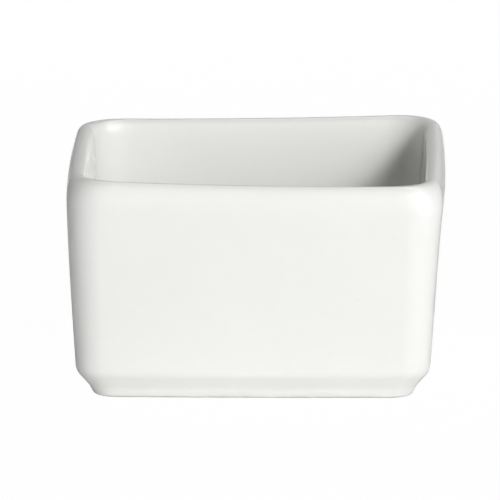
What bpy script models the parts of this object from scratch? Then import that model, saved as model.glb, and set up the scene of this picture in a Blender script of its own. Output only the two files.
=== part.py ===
# Square ramekin: a slip-cast porcelain body with a white glaze over everything but its foot ring.
# Metres, +Z up. The origin is under the middle of the dish, on the surface that it stands on.

from math import acos, cos, pi, radians, sin, sqrt, tan

import bmesh
import bpy
from mathutils import Vector

# Overall sizes, measured over the glaze
WIDTH = 0.075                       # across the widest part of the wall, both ways
HEIGHT = 0.0443                     # table to top of rim
WALL = 0.00397                      # wall at the rim
CORNER_RADIUS = 0.0063              # upright corners, where the wall meets the rim
SIDE_BOW = 0.00051                  # each side swells by this much between its corners
OUTER_DRAFT = radians(3.68)         # lean of the outside of the wall
INNER_DRAFT = radians(3.4)          # lean of the inside of the wall

# Rim: two conic rounds that meet level at its crest. A pull of 0.71 makes a quarter ellipse, and more fills
# the corner further.
RIM_DROP = 0.0060                   # height of the outer one
RIM_PULL = 1.25
RIM_INNER_DROP = 0.0028             # height of the inner one
RIM_INNER_BREADTH = 0.0018          # from the inside of the wall to the crest
RIM_INNER_PULL = 1.5
RIM_CORNER_RADIUS = 0.0085          # upright corners along the crest
RIM_INNER_CORNER_RADIUS = 0.0076    # upright corners along the rim's inner edge

# Wall turning under to the foot
SHOULDER_RADIUS = 0.0030            # round at the bottom of the wall
UNDERCUT_ANGLE = radians(40)        # slope under the wall, from upright
FOOT_INSET = 0.00236                # from the bottom of the wall in to the top of the foot
FOOT_HEIGHT = 0.0024
FOOT_DRAFT = radians(25)
COVE_RADIUS = 0.0014                # hollow round between undercut and foot
FOOT_CORNER_RADIUS = 0.0040
FOOT_EDGE_RADIUS = 0.0005

# Underside and floor
FOOT_RING = 0.0034                  # breadth of the ring that the dish stands on
RECESS_DEPTH = 0.0014               # underside above the table
RECESS_RADIUS = 0.0007              # hollow round at the edge of the recess
RECESS_CORNER_RADIUS = 0.0022
BASE = 0.0036                       # porcelain between the underside and the floor
FLOOR_RADIUS = 0.0042               # hollow round between wall and floor
FLOOR_CORNER_RADIUS = 0.0055        # upright corners of the inside, at the floor

# Glaze
GLAZE = 0.0003
BOND_GAP = 0.00005                  # keeps the glaze solids clear of the porcelain

# Facets
CORNER_STEPS = 6                    # round an upright corner
SIDE_STEPS = 4                      # along a side, between its corners
ROUND_STEPS = 4                     # along a small round of the section
SWEEP_STEPS = 7                     # along the long rounds of the rim and the shoulder

SHARP_ANGLE = radians(40)           # edges turned further than this stay crisp

# Finishes: colour, roughness and weight of the clear coat
BARE_PORCELAIN = ((0.84, 0.83, 0.80), 0.55, 0)
WHITE_GLAZE = ((0.89, 0.89, 0.875), 0.08, 0.5)
UNDERSIDE_GLAZE = ((0.89, 0.89, 0.875), 0.12, 0.4)

# Parts of the surface, as the section passes them
UNDERSIDE, BARE_RING, GLAZED = range(3)


def mix(start, end, share):
    return start + (end - start) * share


def fillet(before, corner, after, radius, steps):
    # A corner of the section replaced by an arc. A point is (half width, height, upright corner radius).
    arms = []
    for point in (before, corner, after):
        arms.append(Vector((point[0], point[1])))
    arm_in = arms[0] - arms[1]
    arm_out = arms[2] - arms[1]
    half_angle = acos(arm_in.normalized().dot(arm_out.normalized())) / 2
    reach = min(radius / tan(half_angle), arm_in.length / 2, arm_out.length / 2)
    bisector = (arm_in.normalized() + arm_out.normalized()).normalized()
    centre = arms[1] + bisector * (reach / cos(half_angle))
    start = arms[1] + arm_in.normalized() * reach - centre
    end = arms[1] + arm_out.normalized() * reach - centre
    radius_start = mix(corner[2], before[2], reach / arm_in.length)
    radius_end = mix(corner[2], after[2], reach / arm_out.length)
    points = []
    for step in range(steps + 1):
        share = step / steps
        spot = centre + start.slerp(end, share) * start.length
        points.append((spot.x, spot.y, mix(radius_start, radius_end, share)))
    return points


def conic_round(start, corner, end, pull, steps):
    # From just after the start to the end, leaving along the leg to the corner and arriving along the other.
    # The corner weighs the pull times twice the product of the shares done and left, the ends their squares.
    points = []
    for step in range(1, steps + 1):
        share = step / steps
        weights = ((1 - share) ** 2, 2 * pull * share * (1 - share), share ** 2)
        spot = []
        for values in zip(start, corner, end):
            spot.append(sum(weight * value for weight, value in zip(weights, values)) / sum(weights))
        points.append(tuple(spot))
    return points


def section():
    # The porcelain's half section, from the middle of the underside, out over the foot ring, up the
    # outside, over the rim and down the inside to the middle of the floor, in three stretches.
    skin = GLAZE + BOND_GAP
    widest = WIDTH / 2 - skin
    corner = CORNER_RADIUS - skin
    top = HEIGHT - skin
    wall = WALL - 2 * skin

    # Corners of the section, before rounding
    rim_inside = widest - wall
    crest_half = rim_inside + RIM_INNER_BREADTH
    crest_breadth = widest - crest_half
    rim_lean = RIM_DROP * tan(OUTER_DRAFT)
    # With its outer leg meeting the top here, the outer round swells to just the widest half.
    swell = sqrt(crest_breadth * (crest_breadth + 4 * RIM_PULL ** 2 * rim_lean)) - crest_breadth
    rim_reach = widest + swell / (2 * RIM_PULL ** 2)
    undercut_rise = FOOT_INSET / tan(UNDERCUT_ANGLE)
    wall_bottom = FOOT_HEIGHT + undercut_rise
    wall_half = rim_reach - (top - wall_bottom) * tan(OUTER_DRAFT)
    foot_half = wall_half - FOOT_INSET
    sole_half = foot_half - FOOT_HEIGHT * tan(FOOT_DRAFT)
    recess_half = sole_half - FOOT_RING
    floor = RECESS_DEPTH + BASE
    floor_half = rim_inside - (top - floor) * tan(INNER_DRAFT)
    inner_share = RIM_INNER_DROP / (top - floor)
    shrink = (corner - FOOT_CORNER_RADIUS) / (widest - foot_half)

    underside_middle = (0, RECESS_DEPTH, 0)
    recess_edge = (recess_half, RECESS_DEPTH, RECESS_CORNER_RADIUS)
    sole_inside = (recess_half, 0, RECESS_CORNER_RADIUS)
    sole_outside = (sole_half, 0, FOOT_CORNER_RADIUS)
    foot_top = (foot_half, FOOT_HEIGHT, FOOT_CORNER_RADIUS)
    wall_foot = (wall_half, wall_bottom, corner - (widest - wall_half) * shrink)
    wall_top = (rim_reach - rim_lean, top - RIM_DROP, corner)
    rim_outside = (rim_reach, top, RIM_CORNER_RADIUS)
    crest = (crest_half, top, RIM_CORNER_RADIUS)
    rim_edge = (rim_inside, top, RIM_INNER_CORNER_RADIUS)
    floor_edge = (floor_half, floor, FLOOR_CORNER_RADIUS)
    floor_middle = (0, floor, 0)
    wall_inside = [mix(upper, lower, inner_share) for upper, lower in zip(rim_edge, floor_edge)]

    underside = fillet(underside_middle, recess_edge, sole_inside, RECESS_RADIUS, ROUND_STEPS)
    inner_edge = fillet(recess_edge, sole_inside, sole_outside, FOOT_EDGE_RADIUS, ROUND_STEPS)
    outer_edge = fillet(sole_inside, sole_outside, foot_top, FOOT_EDGE_RADIUS, ROUND_STEPS)
    underside.append(inner_edge[0])
    bare = inner_edge + outer_edge
    glazed = [outer_edge[-1]]
    glazed += fillet(sole_outside, foot_top, wall_foot, COVE_RADIUS, ROUND_STEPS)
    glazed += fillet(foot_top, wall_foot, wall_top, SHOULDER_RADIUS, SWEEP_STEPS)
    glazed.append(wall_top)
    glazed += conic_round(wall_top, rim_outside, crest, RIM_PULL, SWEEP_STEPS)
    glazed += conic_round(crest, rim_edge, wall_inside, RIM_INNER_PULL, SWEEP_STEPS)
    glazed += fillet(rim_edge, floor_edge, floor_middle, FLOOR_RADIUS, SWEEP_STEPS)
    return underside, bare, glazed


def rounded_square(half, height, radius):
    # One level ring: each corner, then the side after it. Each way shrinks with the square of the other, so
    # that the sides bow out between the corners.
    corners = []
    for quarter in range(4):
        for step in range(CORNER_STEPS + 1):
            turn = pi / 2 * (quarter + step / CORNER_STEPS)
            side = Vector((1 if quarter in (0, 3) else -1, 1 if quarter in (0, 1) else -1, 0))
            corners.append(side * (half - radius) + Vector((cos(turn), sin(turn), 0)) * radius)
    points = []
    for index, point in enumerate(corners):
        points.append(point)
        if (index + 1) % (CORNER_STEPS + 1) == 0:
            onward = corners[(index + 1) % len(corners)]
            for step in range(1, SIDE_STEPS):
                points.append(point.lerp(onward, step / SIDE_STEPS))
    swell = SIDE_BOW / (WIDTH / 2) ** 3
    bowed = []
    for x, y, _ in points:
        bowed.append(Vector((x - x * y * y * swell, y - y * x * x * swell, height)))
    return bowed


def ring_edges(mesh, ring):
    edges = []
    for index, vert in enumerate(ring):
        edges.append(mesh.edges.get((ring[index - 1], vert)))
    return edges


def move_ring(ring, station):
    for vert, point in zip(ring, rounded_square(*station)):
        vert.co = point


def extrude_ring(mesh, ring):
    # The next ring, its verts in the order of those that they grew from, and the band of faces between.
    made = bmesh.ops.extrude_edge_only(mesh, edges=ring_edges(mesh, ring))["geom"]
    fresh = {item for item in made if isinstance(item, bmesh.types.BMVert)}
    band = [item for item in made if isinstance(item, bmesh.types.BMFace)]
    grown = []
    for vert in ring:
        grown += [edge.other_vert(vert) for edge in vert.link_edges if edge.other_vert(vert) in fresh]
    return grown, band


def loft_surface():
    # The porcelain's closed surface: one ring is extruded along the section, station after station.
    # Each face remembers which part of the surface it is on.
    mesh = bmesh.new()
    part_of = mesh.faces.layers.int.new("part")
    underside, bare, glazed = section()
    segments = len(rounded_square(*underside[0]))
    ring = bmesh.ops.create_circle(mesh, cap_ends=True, segments=segments, radius=WIDTH)["verts"]
    move_ring(ring, underside[0])
    for face in mesh.faces:
        face[part_of] = UNDERSIDE
    for part, stretch in ((UNDERSIDE, underside), (BARE_RING, bare), (GLAZED, glazed)):
        for station in stretch[1:]:
            ring, band = extrude_ring(mesh, ring)
            move_ring(ring, station)
            for face in band:
                face[part_of] = part
    for face in bmesh.ops.edgeloop_fill(mesh, edges=ring_edges(mesh, ring))["faces"]:
        face[part_of] = GLAZED
    bmesh.ops.recalc_face_normals(mesh, faces=mesh.faces)
    return mesh


def principled(name, colour, roughness, coat):
    material = bpy.data.materials.new(name)
    material.use_nodes = True
    shader = material.node_tree.nodes["Principled BSDF"]
    shader.inputs["Base Color"].default_value = (*colour, 1)
    shader.inputs["Roughness"].default_value = roughness
    shader.inputs["Metallic"].default_value = 0
    shader.inputs["Coat Weight"].default_value = coat
    material.diffuse_color = (*colour, 1)
    return material


def add_object(name, mesh, material, parent, collection):
    data = bpy.data.meshes.new(name)
    mesh.to_mesh(data)
    data.materials.append(material)
    data.shade_smooth()
    data.set_sharp_from_angle(angle=SHARP_ANGLE)
    piece = bpy.data.objects.new(name, data)
    piece.parent = parent
    collection.objects.link(piece)
    return piece


def add_glaze(name, surface, part, material, parent, collection):
    # One part of the porcelain's surface, lifted clear of it and given the glaze's thickness.
    mesh = surface.copy()
    part_of = mesh.faces.layers.int["part"]
    others = [face for face in mesh.faces if face[part_of] != part]
    bmesh.ops.delete(mesh, geom=others, context="FACES")
    piece = add_object(name, mesh, material, parent, collection)
    mesh.free()
    lift = piece.modifiers.new("lift", "DISPLACE")
    lift.direction = "NORMAL"
    lift.mid_level = 0
    lift.strength = BOND_GAP
    coat = piece.modifiers.new("coat", "SOLIDIFY")
    coat.thickness = GLAZE
    coat.offset = 1
    coat.use_even_offset = True
    return piece


def clear_scene():
    for item in list(bpy.data.objects):
        bpy.data.objects.remove(item, do_unlink=True)


def main():
    clear_scene()
    collection = bpy.data.collections.new("square_ramekin")
    bpy.context.scene.collection.children.link(collection)
    root = bpy.data.objects.new("ramekin_origin", None)
    collection.objects.link(root)

    porcelain = principled("bare_porcelain", *BARE_PORCELAIN)
    white_glaze = principled("white_glaze", *WHITE_GLAZE)
    hidden_glaze = principled("underside_glaze", *UNDERSIDE_GLAZE)

    surface = loft_surface()
    add_object("porcelain_body", surface, porcelain, root, collection)
    add_glaze("glaze_coat", surface, GLAZED, white_glaze, root, collection)
    add_glaze("base_glaze", surface, UNDERSIDE, hidden_glaze, root, collection)
    surface.free()


main()
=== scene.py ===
# Looks of the square ramekin: white gloss glaze over a porcelain body with a bare foot ring.
# Metres, +Z up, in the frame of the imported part.
import bpy
import mathutils
import numpy as np
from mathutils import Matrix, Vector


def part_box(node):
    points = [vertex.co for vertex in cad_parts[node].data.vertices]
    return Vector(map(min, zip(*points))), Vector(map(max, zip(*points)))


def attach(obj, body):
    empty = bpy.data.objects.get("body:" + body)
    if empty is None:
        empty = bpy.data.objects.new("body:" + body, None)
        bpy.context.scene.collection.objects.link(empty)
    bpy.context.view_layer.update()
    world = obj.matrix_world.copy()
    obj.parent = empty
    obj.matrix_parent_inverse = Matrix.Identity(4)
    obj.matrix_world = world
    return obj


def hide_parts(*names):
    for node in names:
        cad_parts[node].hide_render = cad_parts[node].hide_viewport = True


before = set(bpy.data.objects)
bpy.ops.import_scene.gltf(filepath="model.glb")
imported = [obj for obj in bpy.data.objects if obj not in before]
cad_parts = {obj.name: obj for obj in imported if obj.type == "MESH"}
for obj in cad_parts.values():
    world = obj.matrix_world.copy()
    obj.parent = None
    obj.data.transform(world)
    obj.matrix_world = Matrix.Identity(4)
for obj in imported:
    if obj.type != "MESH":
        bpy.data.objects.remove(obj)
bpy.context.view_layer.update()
print("frame loaded")


# shader sockets as Python values

class Wire:
    def __init__(self, tree, socket=None):
        self.tree = tree
        self.socket = socket

    def node(self, kind, settings=None, sockets=None, out=0):   # sockets hold values or links
        made = self.tree.nodes.new(kind)
        for name, value in (settings or {}).items():
            setattr(made, name, value)
        for name, value in (sockets or {}).items():
            if isinstance(value, Wire):
                self.tree.links.new(value.socket, made.inputs[name])
            else:
                made.inputs[name].default_value = value
        return Wire(self.tree, made.outputs[out]) if len(made.outputs) else made

    def maths(self, operation, first, second):
        return self.node("ShaderNodeMath", {"operation": operation}, {0: first, 1: second})

    def __add__(self, other):
        return self.maths("ADD", self, other)

    def __radd__(self, other):
        return self.maths("ADD", other, self)

    def __sub__(self, other):
        return self.maths("SUBTRACT", self, other)

    def __rsub__(self, other):
        return self.maths("SUBTRACT", other, self)

    def __mul__(self, other):
        return self.maths("MULTIPLY", self, other)

    def __rmul__(self, other):
        return self.maths("MULTIPLY", other, self)

    def ease(self, low, high):   # 0 at low, 1 at high, smooth between
        settings = {"interpolation_type": "SMOOTHSTEP"}
        return self.node("ShaderNodeMapRange", settings, {"Value": self, "From Min": low, "From Max": high})

    def blend(self, first, second):   # this value as the share of the second colour
        settings = {"data_type": "RGBA"}
        return self.node("ShaderNodeMix", settings, {0: self, 6: first, 7: second}, out=2)


def newMaterial(name):
    material = bpy.data.materials.new(name)
    material.use_nodes = True
    material.node_tree.nodes.clear()
    return material, Wire(material.node_tree)


def noise(wire, coords, scale, detail):
    return wire.node("ShaderNodeTexNoise", {}, {"Vector": coords, "Scale": scale, "Detail": detail})


# the dish's section, carried round a square path with eased corners

dish = {
    "wall": 0.00397,                 # at the rim, over the glaze
    "cornerRadius": 0.0063,          # upright corners at the widest part
    "crestCornerRadius": 0.0075,     # the same along the rim's crest
    "rimInnerCornerRadius": 0.0076,  # along the rim's inner edge
    "innerCornerRadius": 0.0055,     # inside, at the floor
    "footCornerRadius": 0.0038,
    "recessCornerRadius": 0.0022,
    "cornerEase": 0.2,               # 0 plain arcs, 1 corners that start to turn very gently
    "sideBow": 0.00065,              # each side swells by this much between its corners
    "outerLean": 3.69,               # degrees, as all leans
    "innerLean": 3.4,
    "rimDrop": 0.00545,              # height of the rim's outer rounding
    "rimPull": 0.7,                  # how far that rounding fills its corner: 0.7071 for a quarter ellipse
    "rimInnerDrop": 0.0028,          # height and breadth of its inner rounding
    "rimInnerBreadth": 0.0015,
    "rimInnerPull": 1.5,
    "shoulderRadius": 0.0030,
    "undercutLean": 40,
    "footInset": 0.00258,
    "footHeight": 0.00235,
    "footLean": 25.6,
    "coveRadius": 0.0014,
    "footEdgeRadius": 0.0005,
    "footRing": 0.0034,
    "recessDepth": 0.0014,
    "recessRadius": 0.0007,
    "base": 0.0036,
    "floorRadius": 0.0042,
    "glaze": 0.0003,
    "bondGap": 0.00005,
    "softening": 0.00025,            # how far casting and glaze soften every edge of the section
    "rimTwist": 0.000614,            # firing warp: two opposite corners stand high
    "rimDip": 0.00035,               # firing warp: the middle of each side sags
    "dipReach": 0.030,               # from a side's middle to where its sag ends
    "footShift": 0.00037,            # firing warp: the foot lies this far towards -X under the rim
    "fineStep": 0.00004,             # spacing of the section's points before rows are picked
    "arcSteps": 40,                  # points on one rounding of the section
    "rowLength": 0.0014,             # longest step between rows
    "rowTurn": 5.0,                  # most degrees between rows
    "sideSteps": 14,                 # along half a side
    "cornerSteps": 24,
    "turnSteps": 2000,               # points that an upright corner's curve is summed from
    "bendReach": 0.0012,             # how far a bend is felt along the section
}
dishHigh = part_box("glaze_coat")[1]
halfWidth, dishHeight = dishHigh[0], dishHigh[2]
glazeSkin = dish["glaze"] + dish["bondGap"]


def cornerArc(corner, start, end, pull):
    # Rational quadratic curve: start and end weighted by squares of the share left and the share done,
    # the corner by the pull times twice their product. A station is half width, height and upright
    # corner radius.
    share = np.linspace(0, 1, dish["arcSteps"])[:, None]
    starts, corners, ends = (1 - share) ** 2, 2 * pull * share * (1 - share), share ** 2
    return (starts * start + corners * corner + ends * end) / (starts + corners + ends)


def roundedCorner(before, corner, after, radius):
    # Circular arc: it leaves both legs at the radius over the tangent of half the corner's angle, and the
    # pull is the sine of that half angle.
    wayIn, wayOut = before - corner, after - corner
    lengthIn, lengthOut = np.hypot(*wayIn[:2]), np.hypot(*wayOut[:2])
    halfAngle = np.arccos(wayIn[:2] @ wayOut[:2] / lengthIn / lengthOut) / 2
    reach = min(radius / np.tan(halfAngle), lengthIn / 2, lengthOut / 2)
    start, end = corner + wayIn * reach / lengthIn, corner + wayOut * reach / lengthOut
    return cornerArc(corner, start, end, np.sin(halfAngle))


def bodySection():
    # The porcelain's half section in three stretches: underside, bare ring, glazed part. Straight legs come
    # from the sizes and leans, every corner between them is an arc, and the rim is two such curves that
    # meet level at its crest. The outer one swells to just the widest half.
    widest = halfWidth - glazeSkin
    corner = dish["cornerRadius"] - glazeSkin
    top = dishHeight - glazeSkin
    wall = dish["wall"] - 2 * glazeSkin
    outerSlope, innerSlope, footSlope, undercutSlope = np.tan(np.radians(
        [dish["outerLean"], dish["innerLean"], dish["footLean"], dish["undercutLean"]]))
    rimInside = widest - wall
    crestHalf = rimInside + dish["rimInnerBreadth"]
    outward = dish["rimDrop"] * outerSlope
    crestBreadth = widest - crestHalf
    fullness = 2 * dish["rimPull"] ** 2
    swell = np.sqrt(crestBreadth * (crestBreadth + 2 * fullness * outward)) - crestBreadth
    rimReach = widest + swell / fullness
    wallBottom = dish["footHeight"] + dish["footInset"] / undercutSlope
    wallHalf = rimReach - (top - wallBottom) * outerSlope
    footHalf = wallHalf - dish["footInset"]
    soleHalf = footHalf - dish["footHeight"] * footSlope
    recessHalf = soleHalf - dish["footRing"]
    floor = dish["recessDepth"] + dish["base"]
    floorHalf = rimInside - (top - floor) * innerSlope
    narrowing = (corner - dish["footCornerRadius"]) / (widest - footHalf)

    undersideMiddle = np.array([0, dish["recessDepth"], 0])
    recessEdge = np.array([recessHalf, dish["recessDepth"], dish["recessCornerRadius"]])
    soleInside = np.array([recessHalf, 0, dish["recessCornerRadius"]])
    soleOutside = np.array([soleHalf, 0, dish["footCornerRadius"]])
    footTop = np.array([footHalf, dish["footHeight"], dish["footCornerRadius"]])
    wallFoot = np.array([wallHalf, wallBottom, corner - (widest - wallHalf) * narrowing])
    wallTop = np.array([rimReach - outward, top - dish["rimDrop"], corner])
    rimTip = np.array([rimReach, top, dish["crestCornerRadius"]])
    crest = np.array([crestHalf, top, dish["crestCornerRadius"]])
    rimEdge = np.array([rimInside, top, dish["rimInnerCornerRadius"]])
    floorEdge = np.array([floorHalf, floor, dish["innerCornerRadius"]])
    floorMiddle = np.array([0, floor, 0])
    wallInside = rimEdge + (floorEdge - rimEdge) * dish["rimInnerDrop"] / (top - floor)

    inner = roundedCorner(recessEdge, soleInside, soleOutside, dish["footEdgeRadius"])
    outer = roundedCorner(soleInside, soleOutside, footTop, dish["footEdgeRadius"])
    recess = roundedCorner(undersideMiddle, recessEdge, soleInside, dish["recessRadius"])
    cove = roundedCorner(soleOutside, footTop, wallFoot, dish["coveRadius"])
    shoulder = roundedCorner(footTop, wallFoot, wallTop, dish["shoulderRadius"])
    rimOutside = cornerArc(rimTip, wallTop, crest, dish["rimPull"])
    rimInner = cornerArc(rimEdge, crest, wallInside, dish["rimInnerPull"])
    bowl = roundedCorner(rimEdge, floorEdge, floorMiddle, dish["floorRadius"])
    underside = np.concatenate([undersideMiddle[None], recess, inner[:1]])
    bare = np.concatenate([inner, outer])
    glazed = np.concatenate([outer[-1:], cove, shoulder, rimOutside, rimInner[1:], bowl, floorMiddle[None]])
    return underside, bare, glazed


def lengthAlong(section):
    # Running length of the line in half width and height.
    return np.concatenate([[0], np.cumsum(np.hypot(*np.diff(section[:, :2], axis=0).T))])


def softenedSection():
    # The whole section at even steps, each point the bell-weighted mean of its neighbours. Past its ends the
    # line goes on as its own half-turned image.
    stretches = bodySection()
    lengths = [lengthAlong(stretch)[-1] for stretch in stretches]
    whole = np.concatenate(stretches)
    along = lengthAlong(whole)
    spots = np.linspace(0, along[-1], int(along[-1] / dish["fineStep"]))
    even = np.stack([np.interp(spots, along, column) for column in whole.T], axis=1)
    reach = int(4 * dish["softening"] / dish["fineStep"])
    weights = np.exp(-0.5 * (np.arange(-reach, reach + 1) * dish["fineStep"] / dish["softening"]) ** 2)
    padded = np.pad(even, ((reach, reach), (0, 0)), mode="reflect", reflect_type="odd")
    soft = [np.convolve(column, weights / weights.sum(), mode="valid") for column in padded.T]
    return np.stack(soft, axis=1), np.searchsorted(spots, np.cumsum(lengths)[:2])


def lifted(section, distance):
    # Each point moves along the line's normal, and the upright corner's radius grows by the sideways share.
    tangent = np.gradient(section[:, :2], axis=0)
    normal = np.stack([tangent[:, 1], -tangent[:, 0]], axis=1) / np.hypot(*tangent.T)[:, None]
    moved = normal * np.reshape(distance, (-1, 1))
    return section + moved[:, [0, 1, 0]]


def turning(section):
    # Degrees by which the line's heading changes at each point, to the left above zero.
    heading = np.unwrap(np.arctan2(*np.gradient(section[:, :2], axis=0).T[::-1]))
    return np.degrees(np.gradient(heading))


def pickedRows(section):
    # Rows at equal shares of length over the longest step plus turning over the most degrees.
    cost = lengthAlong(section) / dish["rowLength"] + np.cumsum(abs(turning(section))) / dish["rowTurn"]
    shares = np.linspace(cost[0], cost[-1], int(cost[-1] - cost[0]) + 2)
    return np.unique(np.rint(np.interp(shares, cost, np.arange(len(section)))).astype(int))


def easedCorner():
    # A quarter turn whose curvature swells and fades as 1 - ease * cosine, scaled so that its middle lies as
    # far from the square's corner as that of a plain arc of radius 1.
    count = dish["turnSteps"]
    share = np.linspace(0, 1, count + 1)
    heading = np.pi / 2 * (share - dish["cornerEase"] * np.sin(2 * np.pi * share) / (2 * np.pi))
    steps = np.stack([-np.sin(heading), np.cos(heading)], axis=1)
    path = np.concatenate([[[0, 0]], np.cumsum((steps[1:] + steps[:-1]) / 2, axis=0)])
    middle = path[count // 2]
    path *= (np.sqrt(2) - 1) / np.hypot(middle[0], path[-1, 1] - middle[1])
    return path[np.linspace(0, count, dish["cornerSteps"], endpoint=False).astype(int)], path[-1, 1]


def carriedRound(section):
    # A station of half width a and corner radius r runs from the middle of a side along x = a, round the
    # eased corner scaled by r, and along y = a to the middle of the next side, four times with quarter
    # turns. Each way then shrinks with the square of the other, so that the sides bow out between the
    # corners.
    half, height, radius = section[:, 0:1], section[:, 1:2], section[:, 2:3]
    corner, reach = easedCorner()
    swell = dish["sideBow"] / halfWidth ** 3
    straight = half - radius * reach
    run = np.linspace(0, 1, dish["sideSteps"], endpoint=False)[None]
    whole = np.ones_like(run)
    turnAcross, turnAlong = radius * corner[None, :, 0], radius * corner[None, :, 1]
    across = np.concatenate([half * whole, half + turnAcross, straight * (1 - run)], axis=1)
    along = np.concatenate([straight * run, straight + turnAlong, half * whole], axis=1)
    across, along = across - across * along ** 2 * swell, along - along * across ** 2 * swell
    x = np.concatenate([across, -along, -across, along], axis=1)
    y = np.concatenate([along, across, -along, -across], axis=1)
    return fired(np.stack([x, y, height + np.zeros_like(x)], axis=-1))


def fired(points):
    # Firing warp, growing as the square of height: a saddle, x times y, lifts two opposite corners, and each
    # side sags as 1 - square of the distance from its middle. The highest corner keeps its height. The wall
    # under the rim also stands a little to one side, by a share that falls to nothing at the rim with the
    # fourth power of height.
    x, y, z = np.moveaxis(points, -1, 0)
    growth = (z / dishHeight) ** 2
    cornerCut = 0.293 * dish["crestCornerRadius"]   # each way, from a square corner to its arc's middle
    crestCorner = halfWidth - dish["wall"] + dish["rimInnerBreadth"] - cornerCut
    saddle = (x * y - crestCorner ** 2) / halfWidth ** 2
    sag = 1 - np.minimum(np.minimum(abs(x), abs(y)) / dish["dipReach"], 1) ** 2
    rise = np.minimum(z / (dishHeight - dish["rimDrop"]), 1)
    leant = x - dish["footShift"] * (1 - rise ** 4)
    return np.stack([leant, y, z + growth * (dish["rimTwist"] * saddle - dish["rimDip"] * sag)], axis=-1)


def closedMesh(name, points, bends):
    # Rows of points joined by quads, round and round. The first and last rows are one point each, joined by
    # fans.
    rows, columns = points.shape[0] - 2, points.shape[1]
    verts = np.concatenate([points[:1, 0], points[1:-1].reshape(-1, 3), points[-1:, 0]])
    values = np.concatenate([bends[:1], np.repeat(bends[1:-1], columns), bends[-1:]])
    ring = 1 + np.arange(rows * columns).reshape(rows, columns)
    nextRing = np.roll(ring, -1, axis=1)
    quads = np.stack([ring[:-1], nextRing[:-1], nextRing[1:], ring[1:]], axis=-1).reshape(-1, 4)
    firstFan = np.stack([np.zeros(columns, int), nextRing[0], ring[0]], axis=-1)
    lastFan = np.stack([np.full(columns, len(verts) - 1), ring[-1], nextRing[-1]], axis=-1)
    corners = np.concatenate([quads.ravel(), firstFan.ravel(), lastFan.ravel()])
    sizes = np.concatenate([np.full(len(quads), 4), np.full(2 * columns, 3)])
    mesh = bpy.data.meshes.new(name)
    mesh.vertices.add(len(verts))
    mesh.vertices.foreach_set("co", verts.ravel())
    mesh.loops.add(len(corners))
    mesh.loops.foreach_set("vertex_index", corners)
    mesh.polygons.add(len(sizes))
    mesh.polygons.foreach_set("loop_start", np.cumsum(sizes) - sizes)
    mesh.update(calc_edges=True)
    mesh.validate()
    mesh.shade_smooth()
    mesh.attributes.new("bend", "FLOAT", "POINT").data.foreach_set("value", values.astype(np.float32))
    return mesh


def addPiece(name, mesh, material, node):
    piece = bpy.data.objects.new(name, mesh)
    bpy.context.scene.collection.objects.link(piece)
    mesh.materials.append(material)
    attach(piece, "root")
    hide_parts(node)
    print(name, "made with", sum(len(face.vertices) - 2 for face in mesh.polygons), "triangles")


def glazeShell(section, edgeRound, edgeAtStart):
    # A skin on part of the section, both its sides in one line: the far side is lifted by the glaze's
    # thickness, which rises from nothing at the bare edge as a quarter circle.
    along = lengthAlong(section)
    fromEdge = along if edgeAtStart else along[-1] - along
    thickness = dish["glaze"] * np.sqrt(1 - (1 - np.minimum(fromEdge / edgeRound, 1)) ** 2)
    rows = pickedRows(section)
    near = lifted(section, dish["bondGap"])[rows]
    far = lifted(section, dish["bondGap"] + thickness)[rows]
    if edgeAtStart:
        shell = np.concatenate([near[::-1], far[1:]])
        order = np.concatenate([rows[::-1], rows[1:]])
    else:
        shell = np.concatenate([far, near[-2::-1]])
        order = np.concatenate([rows, rows[-2::-1]])
    return shell, order


def bendValues(section):
    # Smoothed turning in right angles per millimetre: above zero on outer edges, below zero in hollows.
    perStep = turning(section) / (dish["fineStep"] * 1000)
    reach = int(dish["bendReach"] / dish["fineStep"])
    weights = np.hanning(2 * reach + 1)
    return np.convolve(np.pad(perStep, reach, mode="edge"), weights / weights.sum(), mode="valid") / 90


section, (bareStart, glazeStart) = softenedSection()
bends = bendValues(section)
print("section worked out at", len(section), "points")


# white glaze

whiteGlaze = {
    "colour": (0.86, 0.862, 0.839, 1),
    "cloudColour": (0.845, 0.849, 0.827, 1),     # broad, faint change of tone
    "poolColour": (0.80, 0.811, 0.788, 1),       # thick glaze in hollows
    "thinColour": (0.865, 0.855, 0.822, 1),      # thin glaze on edges
    "pinholeColour": (0.74, 0.735, 0.71, 1),
    "roughness": 0.06,
    "ior": 1.52,
    "edgeRound": 0.0005,
    "cloudScale": 38,
    "mottleScale": 420,
    "waveScale": 75,
    "waveHeight": 0.00003,
    "peelScale": 900,
    "peelHeight": 0.000003,
    "pinholeScale": 240,
    "clearShare": 0.93,                          # share of the pinhole cells that stay clear
    "pinholeDepth": 0.00002,
}
undersideGlaze = dict(whiteGlaze, roughness=0.10, pinholeColour=(0.60, 0.58, 0.55, 1))


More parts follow.
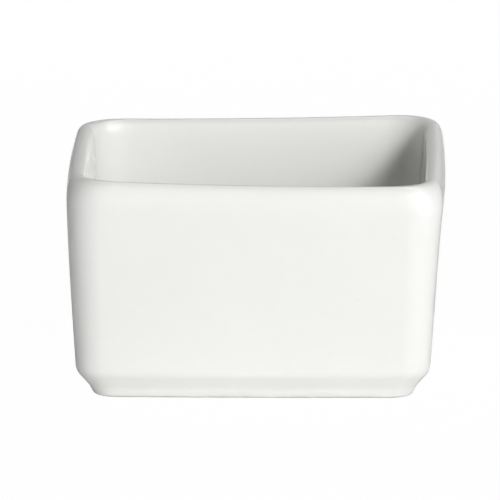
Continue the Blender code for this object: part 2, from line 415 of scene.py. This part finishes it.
def glazeMaterial(name, look):
    material, wire = newMaterial(name)
    coords = wire.node("ShaderNodeTexCoord", out=3)
    cloud = noise(wire, coords, look["cloudScale"], 2)
    mottle = noise(wire, coords, look["mottleScale"], 3)
    wave = noise(wire, coords, look["waveScale"], 1)
    peel = noise(wire, coords, look["peelScale"], 1)
    bend = wire.node("ShaderNodeAttribute", {"attribute_name": "bend"}, out=2)
    cells = {"Vector": coords, "Scale": look["pinholeScale"]}
    nearest = wire.node("ShaderNodeTexVoronoi", {}, cells)
    cellColour = wire.node("ShaderNodeTexVoronoi", {}, cells, out=1)
    chance = wire.node("ShaderNodeSeparateColor", {}, {"Color": cellColour})
    chosen = chance.ease(look["clearShare"], look["clearShare"] + 0.01)
    pinhole = (1 - nearest.ease(0.02, 0.05)) * chosen
    tone = cloud.ease(0.3, 0.7) * 0.7 + mottle.ease(0.35, 0.65) * 0.3
    colour = tone.blend(look["colour"], look["cloudColour"])
    colour = (0.6 * (0 - bend).ease(0.02, 0.5)).blend(colour, look["poolColour"])
    colour = (0.8 * bend.ease(0.05, 0.6)).blend(colour, look["thinColour"])
    colour = (0.7 * pinhole).blend(colour, look["pinholeColour"])
    height = wave * look["waveHeight"] + peel * look["peelHeight"] - pinhole * look["pinholeDepth"]
    bump = wire.node("ShaderNodeBump", {}, {"Height": height, "Distance": 1.0, "Strength": 1.0})
    roughness = look["roughness"] + 0.02 * tone + 0.15 * pinhole
    shader = wire.node("ShaderNodeBsdfPrincipled", {}, {
        "Base Color": colour, "Roughness": roughness, "IOR": look["ior"], "Normal": bump})
    wire.node("ShaderNodeOutputMaterial", {}, {"Surface": shader})
    return material


shell, order = glazeShell(section[glazeStart:], whiteGlaze["edgeRound"], True)
skin = closedMesh("white_glaze_skin", carriedRound(shell), bends[glazeStart:][order])
material = glazeMaterial("white gloss glaze", whiteGlaze)
addPiece("white_glaze_skin", skin, material, "glaze_coat")

shell, order = glazeShell(section[:bareStart], whiteGlaze["edgeRound"], False)
skin = closedMesh("underside_glaze_skin", carriedRound(shell), bends[:bareStart][order])
material = glazeMaterial("underside glaze", undersideGlaze)
addPiece("underside_glaze_skin", skin, material, "base_glaze")


# porcelain, seen only at the foot ring

barePorcelain = {
    "colour": (0.80, 0.785, 0.745, 1),
    "darkColour": (0.70, 0.68, 0.635, 1),
    "scuffColour": (0.50, 0.48, 0.45, 1),
    "roughness": 0.5,
    "patchScale": 160,
    "scuffScale": 520,
    "grainScale": 2600,
    "grainHeight": 0.000012,
    "soleHeights": (0.00005, 0.0004),   # scuffs fade out between these
}


def porcelainMaterial(name, look):
    material, wire = newMaterial(name)
    coords = wire.node("ShaderNodeTexCoord", out=3)
    patch = noise(wire, coords, look["patchScale"], 3)
    grain = noise(wire, coords, look["grainScale"], 2)
    scuff = noise(wire, coords, look["scuffScale"], 4).ease(0.60, 0.70)
    height = wire.node("ShaderNodeSeparateXYZ", {}, {"Vector": coords}, out=2)
    sole = 1 - height.ease(*look["soleHeights"])
    colour = patch.ease(0.3, 0.7).blend(look["colour"], look["darkColour"])
    colour = (0.5 * scuff * sole).blend(colour, look["scuffColour"])
    bump = wire.node("ShaderNodeBump", {}, {"Height": grain * look["grainHeight"], "Distance": 1.0})
    roughness = look["roughness"] + 0.2 * grain - 0.15 * sole
    shader = wire.node("ShaderNodeBsdfPrincipled", {}, {
        "Base Color": colour, "Roughness": roughness, "Normal": bump})
    wire.node("ShaderNodeOutputMaterial", {}, {"Surface": shader})
    return material


rows = pickedRows(section)
form = closedMesh("porcelain_form", carriedRound(section[rows]), bends[rows])
material = porcelainMaterial("bare porcelain", barePorcelain)
addPiece("porcelain_form", form, material, "porcelain_body")


# stage: floor, lamps, world and camera

stage = {
    "floorHalf": 3.0,
    "floorColour": (0.9, 0.9, 0.9, 1),
    "seenWhite": 0.985,        # share of plain white that the camera sees in the floor near the dish
    "mirroredWhite": 0.1,      # the same for mirror rays
    "nearDistance": 0.15,      # from here the floor turns whiter
    "farDistance": 0.50,       # and from here out it is all white
    "mirroredWorld": 0.59,     # brightness of the world to mirror rays
    "lightBelow": 0.8,         # brightness of the world under the floor, which lights the base alone
    "belowLine": -0.05,        # sine of the angle under the horizon where that light starts
    "touching": 0.00001,       # the foot's flat is what lies lower than this
    "lampDistance": 2.0,
}
# Degrees round the dish, degrees up from the floor, width, height, degrees of roll, and brightness, which is
# 1 for a white that fills the view.
lamps = {
    "key": (24, 19, 0.38, 1.56, -32, 16.1),
    "key core": (15.9, 14, 0.28, 0.28, 0, 23.2),
    "left strip": (-95, 4.5, 0.76, 0.26, 0, 8.5),
    "right strip": (126, 4.5, 0.76, 0.26, 0, 7.4),
    "right light": (90, 35, 0.8, 0.8, 0, 1.0),
    "top light": (60, 60, 0.8, 0.8, 0, 3.0),
    "back light": (180, 35, 0.8, 0.8, 0, 3.45),
    "ceiling": (148, 63, 2.68, 0.66, -9, 3.0),
    "window": (58, 26, 1.6, 1.7, 0, 3.2),
}
mirrorOnly = ["ceiling", "window"]   # these show in the glaze and light nothing, and the others only light
camera = {"azimuth": 0.88, "pitch": 11.49, "distance": 2.5, "lens": 902.9, "aim": (-0.00139, 0.0, 0.02347)}


def rayKinds(wire):
    # 1 for rays from the camera, and 1 for mirror rays and rays through glass
    seen, glossy, through = (wire.node("ShaderNodeLightPath", out=name) for name in
                             ("Is Camera Ray", "Is Glossy Ray", "Is Transmission Ray"))
    return seen, wire.maths("MAXIMUM", glossy, through)


def addFloor():
    # A square sheet with a hole under the foot's flat, so that light from below finds the base: quads join
    # the outline of the flat to the same outline blown up to the sheet's edge.
    soleEdge = section[np.flatnonzero(section[:, 1] < stage["touching"])[-1:]]
    hole = carriedRound(soleEdge)[0] * [1, 1, 0]
    edge = hole / abs(hole).max(axis=1, keepdims=True) * stage["floorHalf"]
    count = len(hole)
    first = np.arange(count)
    following = np.roll(first, -1)
    faces = np.stack([first + count, following + count, following, first], axis=1)
    mesh = bpy.data.meshes.new("floor")
    mesh.from_pydata(np.concatenate([hole, edge]).tolist(), [], faces.tolist())
    material, wire = newMaterial("pale floor")
    coords = wire.node("ShaderNodeTexCoord", out=3)
    distance = wire.node("ShaderNodeVectorMath", {"operation": "LENGTH"}, {0: coords}, out=1)
    far = distance.ease(stage["nearDistance"], stage["farDistance"])
    seen, mirrored = rayKinds(wire)
    shownShare = stage["seenWhite"] + (1 - stage["seenWhite"]) * far
    whiteShare = seen * shownShare + mirrored * stage["mirroredWhite"]
    paper = wire.node("ShaderNodeBsdfDiffuse", {}, {"Color": stage["floorColour"]})
    white = wire.node("ShaderNodeEmission", {}, {"Strength": 1.0})
    shown = wire.node("ShaderNodeMixShader", {}, {0: whiteShare, 1: paper, 2: white})
    below = wire.node("ShaderNodeNewGeometry", out="Backfacing")
    clear = wire.node("ShaderNodeBsdfTransparent")
    oneSided = wire.node("ShaderNodeMixShader", {}, {0: below, 1: shown, 2: clear})
    wire.node("ShaderNodeOutputMaterial", {}, {"Surface": oneSided})
    mesh.materials.append(material)
    floor = bpy.data.objects.new("floor", mesh)
    bpy.context.scene.collection.objects.link(floor)


def facingPoint(azimuth, elevation, distance, aim):
    # A place on a sphere round the aim, and the turn that looks from there back to the aim.
    azimuth, elevation = np.radians([azimuth, elevation])
    level = np.cos(elevation)
    away = np.array([np.sin(azimuth) * level, -np.cos(azimuth) * level, np.sin(elevation)])
    return tuple(np.array(aim) + away * distance), (np.pi / 2 - elevation, 0, azimuth)


def addSoftbox(name, azimuth, elevation, width, height, roll, brightness):
    # A rectangular lamp that shines with pi times its brightness times its area.
    lamp = bpy.data.lights.new(name, "AREA")
    lamp.shape = "RECTANGLE"
    lamp.size, lamp.size_y = width, height
    lamp.energy = brightness * np.pi * width * height
    box = bpy.data.objects.new(name, lamp)
    middle = (0, 0, dishHeight / 2)
    box.location, facing = facingPoint(azimuth, elevation, stage["lampDistance"], middle)
    rolled = mathutils.Matrix.Rotation(np.radians(roll), 3, "Z")
    box.rotation_euler = (mathutils.Euler(facing).to_matrix() @ rolled).to_euler()
    box.visible_camera = False
    box.visible_glossy = name in mirrorOnly
    box.visible_diffuse = name not in mirrorOnly
    bpy.context.scene.collection.objects.link(box)


def addWorld():
    world = bpy.data.worlds.new("studio")
    world.use_nodes = True
    world.node_tree.nodes.clear()
    wire = Wire(world.node_tree)
    seen, mirrored = rayKinds(wire)
    direction = wire.node("ShaderNodeTexCoord", out=0)
    upward = wire.node("ShaderNodeSeparateXYZ", {}, {"Vector": direction}, out=2)
    below = wire.maths("LESS_THAN", upward, stage["belowLine"])
    shown = seen + stage["mirroredWorld"] * mirrored
    strength = shown + stage["lightBelow"] * below * (1 - seen - mirrored)
    background = wire.node("ShaderNodeBackground", {}, {"Strength": strength, "Color": (1, 1, 1, 1)})
    wire.node("ShaderNodeOutputWorld", {}, {"Surface": background})
    bpy.context.scene.world = world


def addCamera():
    eye = bpy.data.cameras.new("camera")
    eye.lens = camera["lens"]
    eye.clip_end = 20
    viewer = bpy.data.objects.new("camera", eye)
    viewer.location, viewer.rotation_euler = facingPoint(
        camera["azimuth"], camera["pitch"], camera["distance"], camera["aim"])
    bpy.context.scene.collection.objects.link(viewer)
    bpy.context.scene.camera = viewer


addFloor()
for name, place in lamps.items():
    addSoftbox(name, *place)
addWorld()
addCamera()
bpy.context.scene.view_settings.view_transform = "Standard"
print("stage set")
